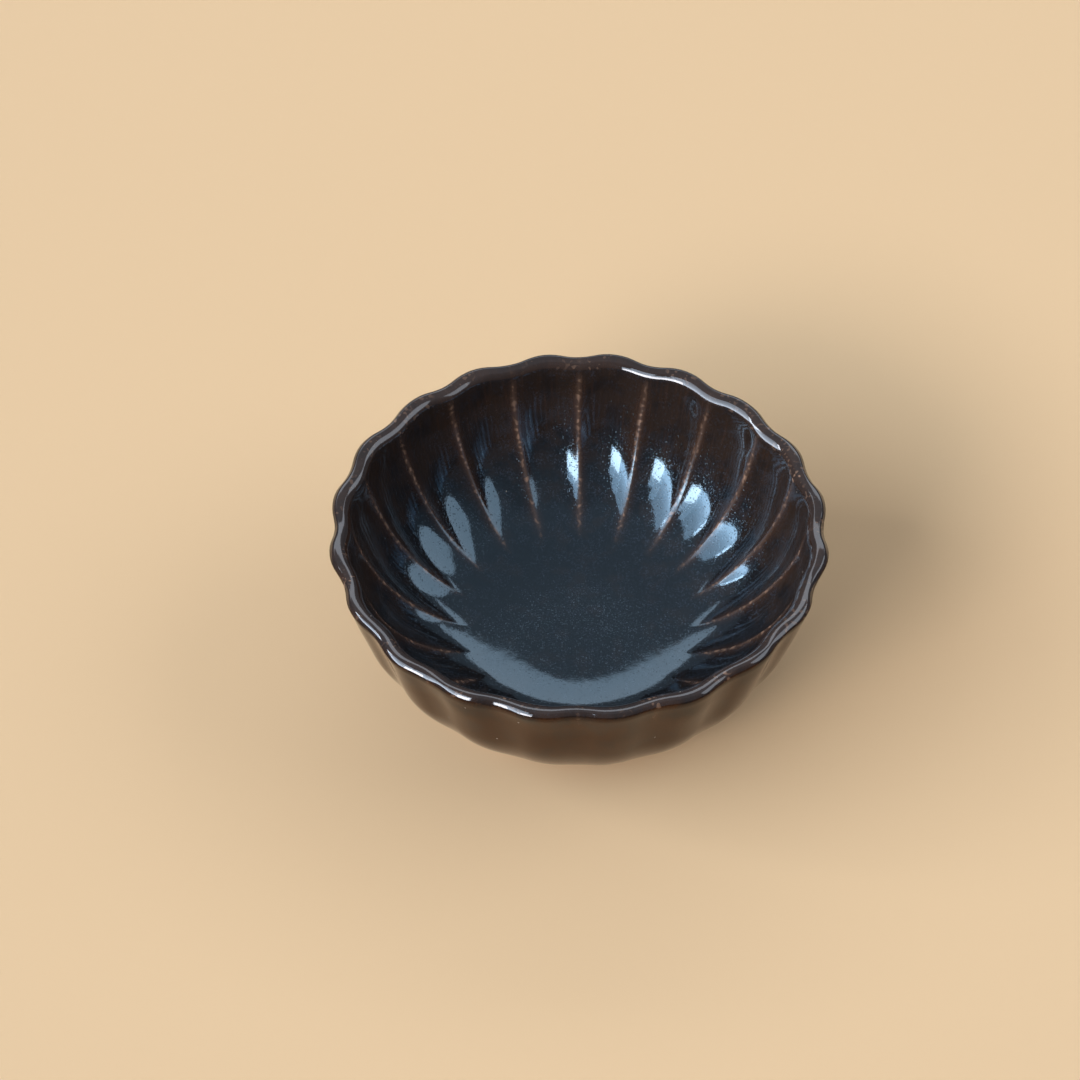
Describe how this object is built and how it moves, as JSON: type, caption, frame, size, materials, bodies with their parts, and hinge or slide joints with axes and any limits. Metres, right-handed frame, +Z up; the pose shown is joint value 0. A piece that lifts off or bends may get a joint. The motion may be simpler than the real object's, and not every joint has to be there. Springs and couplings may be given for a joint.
{
  "type": "sauce dish",
  "caption": "Small deep sauce dish with a scalloped petal rim and fluted inside, dark iron-brown glaze over stoneware, standing on a low foot ring.",
  "frame": {"origin": "on the table, under the middle of the foot ring", "axes": "+Z up along the axis of the dish; a petal ridge lies on +X"},
  "size_m": [0.0892, 0.0892, 0.035],
  "materials": {
    "stoneware": "bare fired stoneware, fine grit, unglazed",
    "inner_glaze": "glossy blue-black iron glaze that breaks rust brown on the ridges",
    "outer_glaze": "glossy dark brown iron glaze, rust brown at the edges of the lip"
  },
  "bodies": {
    "root": {"bowl_body": "stoneware", "foot_ring": "stoneware", "inner_glaze": "inner_glaze", "outer_glaze": "outer_glaze", "foot_well_glaze": "outer_glaze"}
  },
  "joints": []
}
